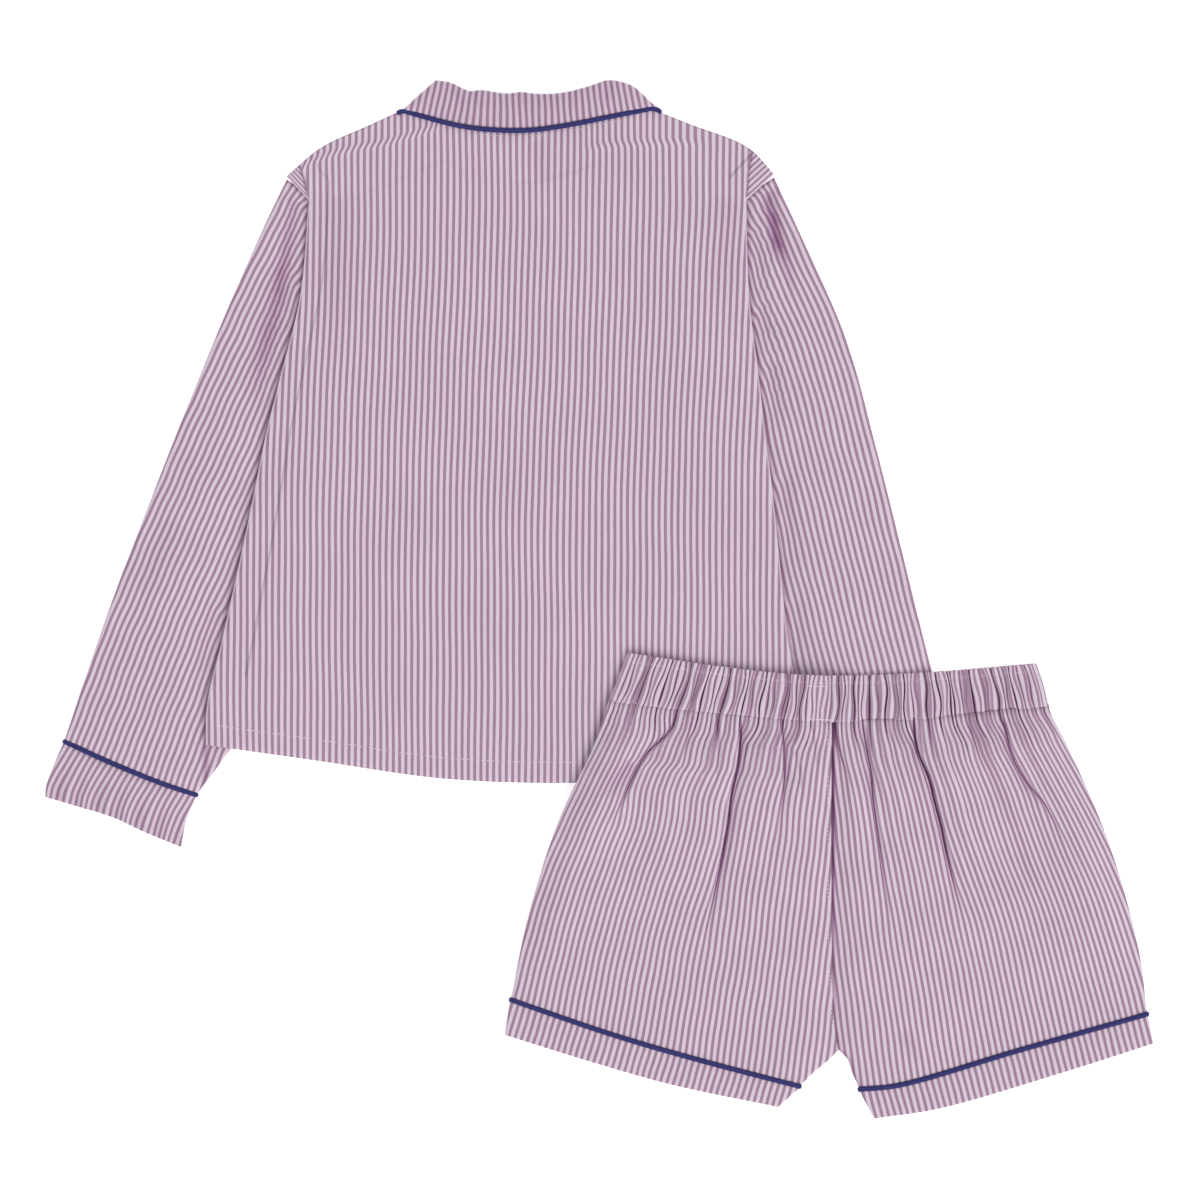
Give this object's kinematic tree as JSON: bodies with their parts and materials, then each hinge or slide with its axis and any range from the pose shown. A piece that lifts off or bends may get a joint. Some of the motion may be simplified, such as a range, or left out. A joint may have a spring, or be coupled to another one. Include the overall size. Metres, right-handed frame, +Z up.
{
  "type": "pyjama set, shirt and shorts",
  "caption": "Striped cotton pyjamas laid flat, back up: long-sleeved shirt with piped collar and cuffs, and elastic-waist shorts with piped leg bands laid over it.",
  "frame": {"origin": "on the table under the middle of the lay", "axes": "+X to the right of the lay, +Y to the collar of the shirt, +Z up from the table"},
  "size_m": [0.7754, 0.726, 0.0146],
  "materials": {
    "striped_poplin": "plain-weave cotton poplin with lilac and mauve stripes",
    "navy_piping": "navy bias-cut cotton satin cord piping",
    "button": "pearly moulded resin"
  },
  "bodies": {
    "root": {"back": "striped_poplin", "front_left": "striped_poplin", "front_right": "striped_poplin", "sleeve_left": "striped_poplin", "sleeve_right": "striped_poplin", "cuff_left": "striped_poplin", "cuff_right": "striped_poplin", "cuff_piping_left": "navy_piping", "cuff_piping_right": "navy_piping", "collar_fall": "striped_poplin", "collar_stand": "striped_poplin", "collar_leaf_left": "striped_poplin", "collar_leaf_right": "striped_poplin", "collar_piping_back": "navy_piping", "collar_piping_left": "navy_piping", "collar_piping_right": "navy_piping", "button_1": "button", "button_2": "button", "button_3": "button", "button_4": "button", "button_5": "button", "shorts_back_left": "striped_poplin", "shorts_back_right": "striped_poplin", "shorts_front_left": "striped_poplin", "shorts_front_right": "striped_poplin", "waistband": "striped_poplin", "leg_band_left": "striped_poplin", "leg_band_right": "striped_poplin", "leg_piping_left": "navy_piping", "leg_piping_right": "navy_piping"}
  },
  "joints": []
}
